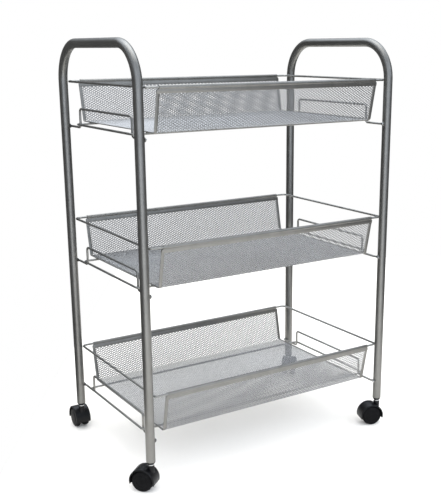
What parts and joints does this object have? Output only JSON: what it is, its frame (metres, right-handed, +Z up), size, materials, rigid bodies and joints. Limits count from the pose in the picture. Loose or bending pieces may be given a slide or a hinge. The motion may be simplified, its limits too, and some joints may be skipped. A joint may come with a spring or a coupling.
{
  "type": "rolling utility cart",
  "caption": "Narrow wheeled cart: open mesh trays with wire rims between bent tube end frames that form handles, on twin-wheel swivel casters.",
  "frame": {"origin": "on the floor, in the middle of the space the cart takes up at rest, casters included", "axes": "+Z up, X along the trays' length with the handles at both ends, -Y the front"},
  "size_m": [0.5687, 0.3526, 0.7419],
  "materials": {
    "tube_steel": "satin",
    "wire_steel": "satin",
    "binding_steel": "satin",
    "mesh_steel": "satin",
    "bright_steel": "polished",
    "plug_plastic": "matte",
    "hood_plastic": "satin",
    "wheel_plastic": "matte"
  },
  "bodies": {
    "frame": {"left_end_frame": "tube_steel", "right_end_frame": "tube_steel", "top_tray_mesh": "mesh_steel", "top_tray_rim_wire": "wire_steel", "top_tray_lower_wire": "wire_steel", "top_tray_front_binding": "binding_steel", "top_tray_rear_binding": "binding_steel", "top_tray_left_guard": "wire_steel", "top_tray_front_left_screw": "bright_steel", "top_tray_rear_left_screw": "bright_steel", "top_tray_right_guard": "wire_steel", "top_tray_front_right_screw": "bright_steel", "top_tray_rear_right_screw": "bright_steel", "middle_tray_mesh": "mesh_steel", "middle_tray_rim_wire": "wire_steel", "middle_tray_lower_wire": "wire_steel", "middle_tray_front_binding": "binding_steel", "middle_tray_rear_binding": "binding_steel", "middle_tray_left_guard": "wire_steel", "middle_tray_front_left_screw": "bright_steel", "middle_tray_rear_left_screw": "bright_steel", "middle_tray_right_guard": "wire_steel", "middle_tray_front_right_screw": "bright_steel", "middle_tray_rear_right_screw": "bright_steel", "bottom_tray_mesh": "mesh_steel", "bottom_tray_rim_wire": "wire_steel", "bottom_tray_lower_wire": "wire_steel", "bottom_tray_front_binding": "binding_steel", "bottom_tray_rear_binding": "binding_steel", "bottom_tray_left_guard": "wire_steel", "bottom_tray_front_left_screw": "bright_steel", "bottom_tray_rear_left_screw": "bright_steel", "bottom_tray_right_guard": "wire_steel", "bottom_tray_front_right_screw": "bright_steel", "bottom_tray_rear_right_screw": "bright_steel", "front_left_plug": "plug_plastic", "front_left_stem": "bright_steel", "front_right_plug": "plug_plastic", "front_right_stem": "bright_steel", "rear_left_plug": "plug_plastic", "rear_left_stem": "bright_steel", "rear_right_plug": "plug_plastic", "rear_right_stem": "bright_steel"},
    "front_left_caster": {"front_left_hood": "hood_plastic", "front_left_axle": "bright_steel"},
    "front_left_left_wheel": {"front_left_left_wheel": "wheel_plastic"},
    "front_left_right_wheel": {"front_left_right_wheel": "wheel_plastic"},
    "front_right_caster": {"front_right_hood": "hood_plastic", "front_right_axle": "bright_steel"},
    "front_right_left_wheel": {"front_right_left_wheel": "wheel_plastic"},
    "front_right_right_wheel": {"front_right_right_wheel": "wheel_plastic"},
    "rear_left_caster": {"rear_left_hood": "hood_plastic", "rear_left_axle": "bright_steel"},
    "rear_left_left_wheel": {"rear_left_left_wheel": "wheel_plastic"},
    "rear_left_right_wheel": {"rear_left_right_wheel": "wheel_plastic"},
    "rear_right_caster": {"rear_right_hood": "hood_plastic", "rear_right_axle": "bright_steel"},
    "rear_right_left_wheel": {"rear_right_left_wheel": "wheel_plastic"},
    "rear_right_right_wheel": {"rear_right_right_wheel": "wheel_plastic"}
  },
  "joints": [
    {"name": "front_left_swivel", "type": "hinge", "parent": "frame", "child": "front_left_caster", "pos_m": [-0.25, -0.1595, 0.0458], "axis": [0, 0, 1], "continuous": true},
    {"name": "front_left_left_wheel_spin", "type": "hinge", "parent": "front_left_caster", "child": "front_left_left_wheel", "pos_m": [-0.25853, -0.14969, 0.019], "axis": [-0.7547, -0.6561, 0], "continuous": true},
    {"name": "front_left_right_wheel_spin", "type": "hinge", "parent": "front_left_caster", "child": "front_left_right_wheel", "pos_m": [-0.25853, -0.14969, 0.019], "axis": [-0.7547, -0.6561, 0], "continuous": true},
    {"name": "front_right_swivel", "type": "hinge", "parent": "frame", "child": "front_right_caster", "pos_m": [0.25, -0.1595, 0.0458], "axis": [0, 0, 1], "continuous": true},
    {"name": "front_right_left_wheel_spin", "type": "hinge", "parent": "front_right_caster", "child": "front_right_left_wheel", "pos_m": [0.23778, -0.15505, 0.019], "axis": [-0.342, -0.9397, 0], "continuous": true},
    {"name": "front_right_right_wheel_spin", "type": "hinge", "parent": "front_right_caster", "child": "front_right_right_wheel", "pos_m": [0.23778, -0.15505, 0.019], "axis": [-0.342, -0.9397, 0], "continuous": true},
    {"name": "rear_left_swivel", "type": "hinge", "parent": "frame", "child": "rear_left_caster", "pos_m": [-0.25, 0.1405, 0.0458], "axis": [0, 0, 1], "continuous": true},
    {"name": "rear_left_left_wheel_spin", "type": "hinge", "parent": "rear_left_caster", "child": "rear_left_left_wheel", "pos_m": [-0.24955, 0.15349, 0.019], "axis": [-0.9994, 0.0349, 0], "continuous": true},
    {"name": "rear_left_right_wheel_spin", "type": "hinge", "parent": "rear_left_caster", "child": "rear_left_right_wheel", "pos_m": [-0.24955, 0.15349, 0.019], "axis": [-0.9994, 0.0349, 0], "continuous": true},
    {"name": "rear_right_swivel", "type": "hinge", "parent": "frame", "child": "rear_right_caster", "pos_m": [0.25, 0.1405, 0.0458], "axis": [0, 0, 1], "continuous": true},
    {"name": "rear_right_left_wheel_spin", "type": "hinge", "parent": "rear_right_caster", "child": "rear_right_left_wheel", "pos_m": [0.25919, 0.14969, 0.019], "axis": [-0.7071, 0.7071, 0], "continuous": true},
    {"name": "rear_right_right_wheel_spin", "type": "hinge", "parent": "rear_right_caster", "child": "rear_right_right_wheel", "pos_m": [0.25919, 0.14969, 0.019], "axis": [-0.7071, 0.7071, 0], "continuous": true}
  ]
}
